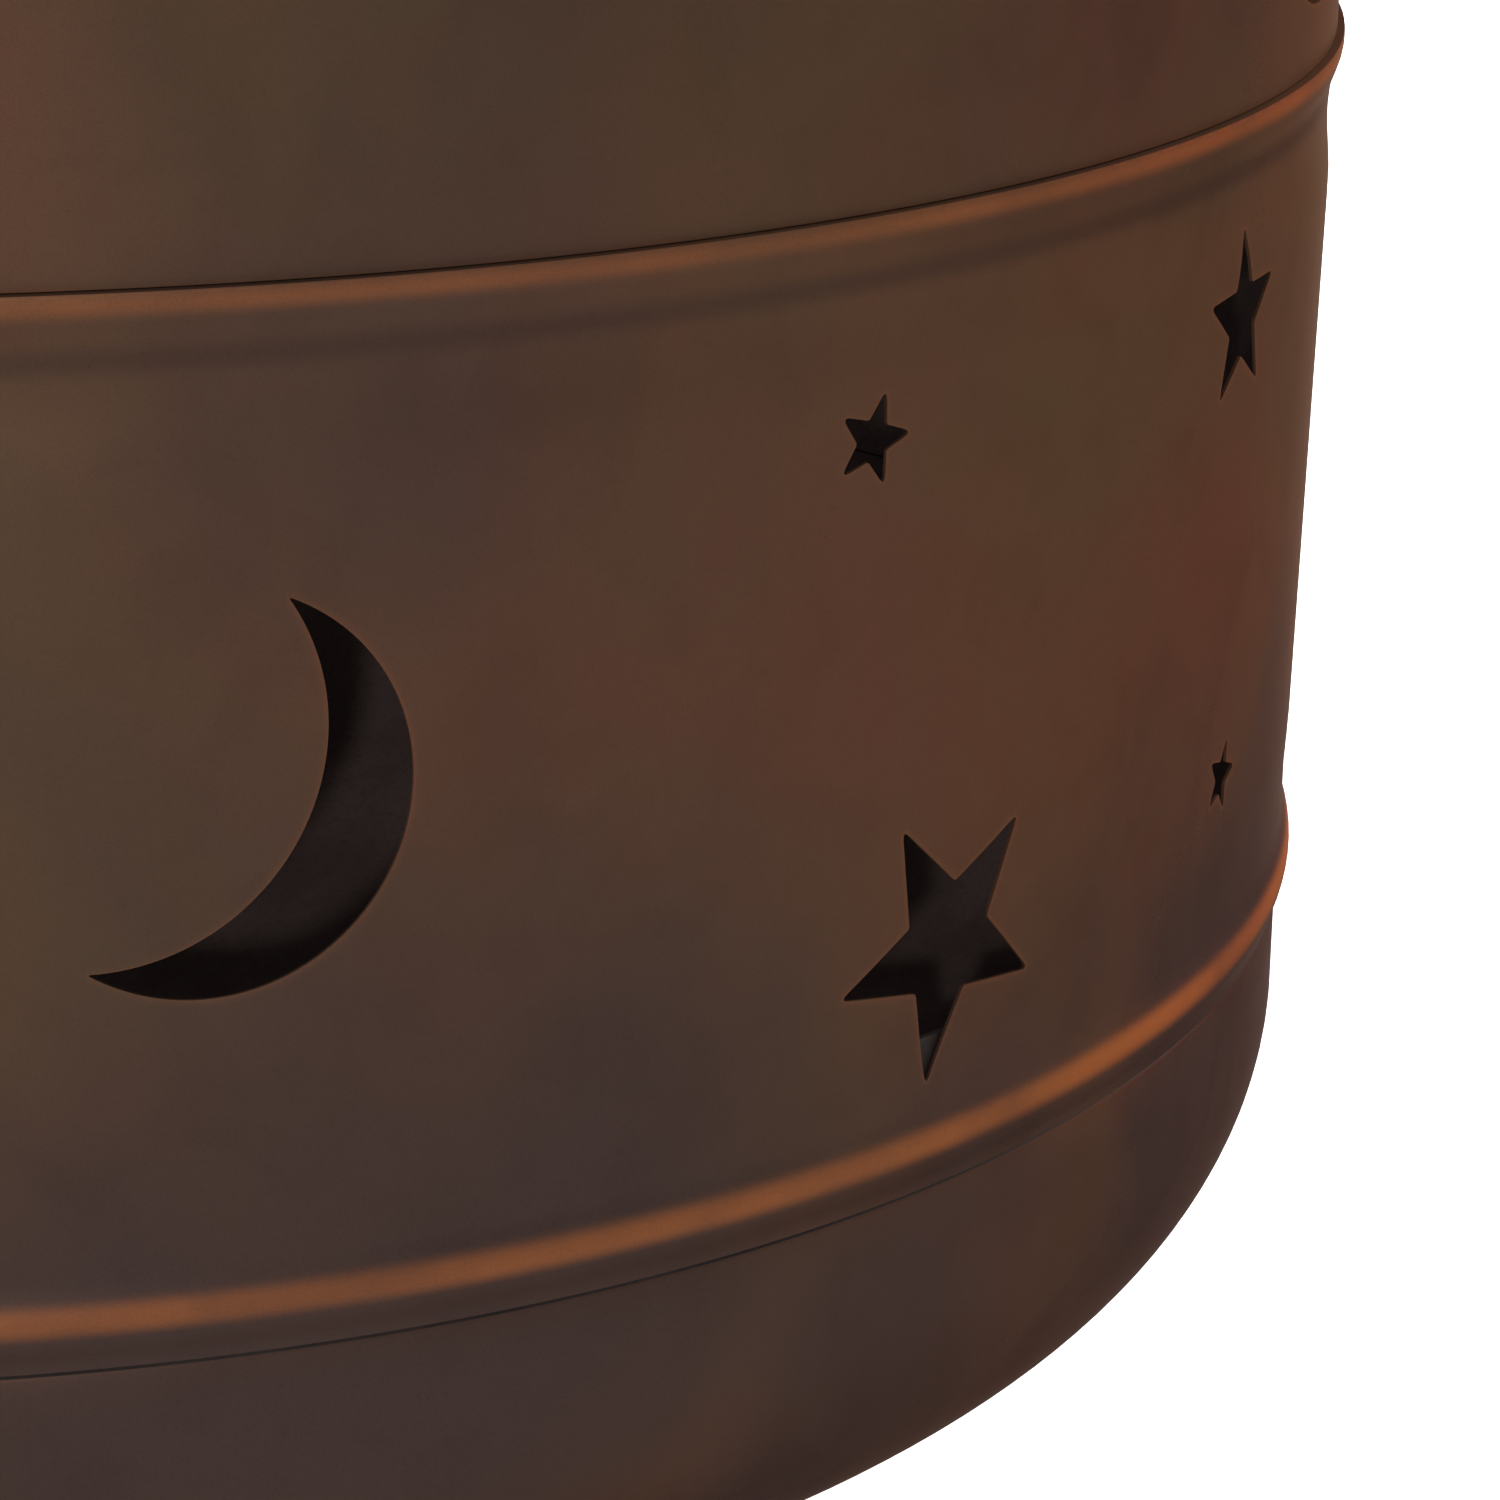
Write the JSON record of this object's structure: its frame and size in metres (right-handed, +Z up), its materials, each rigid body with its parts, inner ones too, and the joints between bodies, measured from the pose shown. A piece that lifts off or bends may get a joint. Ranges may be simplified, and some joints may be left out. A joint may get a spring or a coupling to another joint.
{
  "type": "chiminea",
  "caption": "Steel chiminea: dished fire bowl on legs, firebox pierced with stars and moons, curved screen door, bell hood, chimney and lift-off rain cap.",
  "frame": {"origin": "on the ground under the body's turning axis", "axes": "+Z up along the chimney, -Y out of the door, +X to the right of someone who faces the door"},
  "size_m": [0.5656, 0.5782, 1.541],
  "materials": {
    "copper_patina": "satin copper-brown patina paint, rubbed to orange on the beads and edges",
    "dark_steel": "matt dark brown paint",
    "grate_iron": "blackened steel rod",
    "foot_rubber": "black moulded rubber",
    "zinc_steel": "dull zinc plating"
  },
  "bodies": {
    "root": {"fire_bowl": "copper_patina", "pierced_band": "copper_patina", "firebox_shell": "copper_patina", "hood": "copper_patina", "chimney_lower": "copper_patina", "chimney_upper": "copper_patina", "brace_ring": "copper_patina", "leg_front_right": "copper_patina", "leg_rear_right": "copper_patina", "leg_rear_left": "copper_patina", "leg_front_left": "copper_patina", "latch_keeper": "dark_steel", "hinge_bracket_lower": "dark_steel", "hinge_bracket_upper": "dark_steel", "leg_bolt_front_right": "dark_steel", "leg_bolt_rear_right": "dark_steel", "leg_bolt_rear_left": "dark_steel", "leg_bolt_front_left": "dark_steel", "leg_nut_front_right": "dark_steel", "leg_nut_rear_right": "dark_steel", "leg_nut_rear_left": "dark_steel", "leg_nut_front_left": "dark_steel", "log_grate": "grate_iron", "foot_pad_front_right": "foot_rubber", "foot_pad_rear_right": "foot_rubber", "foot_pad_rear_left": "foot_rubber", "foot_pad_front_left": "foot_rubber", "hinge_pin_lower": "zinc_steel", "hinge_pin_upper": "zinc_steel", "bowl_screw_1": "zinc_steel", "bowl_screw_2": "zinc_steel", "bowl_screw_3": "zinc_steel", "bowl_screw_4": "zinc_steel", "band_screw_1": "zinc_steel", "band_screw_2": "zinc_steel", "band_screw_3": "zinc_steel", "band_screw_4": "zinc_steel", "hood_screw_1": "zinc_steel", "hood_screw_2": "zinc_steel", "hood_screw_3": "zinc_steel"},
    "door": {"door_frame": "copper_patina", "door_mesh": "dark_steel", "door_retainer": "dark_steel", "door_handle": "dark_steel", "handle_grip": "zinc_steel", "handle_screw_lower": "zinc_steel", "handle_screw_upper": "zinc_steel", "door_rivet_lower": "zinc_steel", "door_rivet_upper": "zinc_steel", "latch_pin": "zinc_steel"},
    "latch": {"latch_lever": "dark_steel"},
    "cap": {"rain_cap": "copper_patina", "cap_strap_1": "dark_steel", "cap_strap_2": "dark_steel", "cap_strap_3": "dark_steel", "cap_rivet_1": "zinc_steel", "cap_rivet_2": "zinc_steel", "cap_rivet_3": "zinc_steel"}
  },
  "joints": [
    {"name": "door_hinge", "type": "hinge", "parent": "root", "child": "door", "pos_m": [-0.15341, -0.24551, 0.663], "axis": [0, 0, -1], "range_deg": [0, 115]},
    {"name": "latch_pivot", "type": "hinge", "parent": "door", "child": "latch", "pos_m": [0.1312, -0.25312, 0.591], "axis": [-0.4602, 0.8878, 0], "range_deg": [0, 90]},
    {"name": "cap_lift", "type": "slide", "parent": "root", "child": "cap", "axis": [0, 0, 1], "range_m": [0, 0.06]}
  ]
}
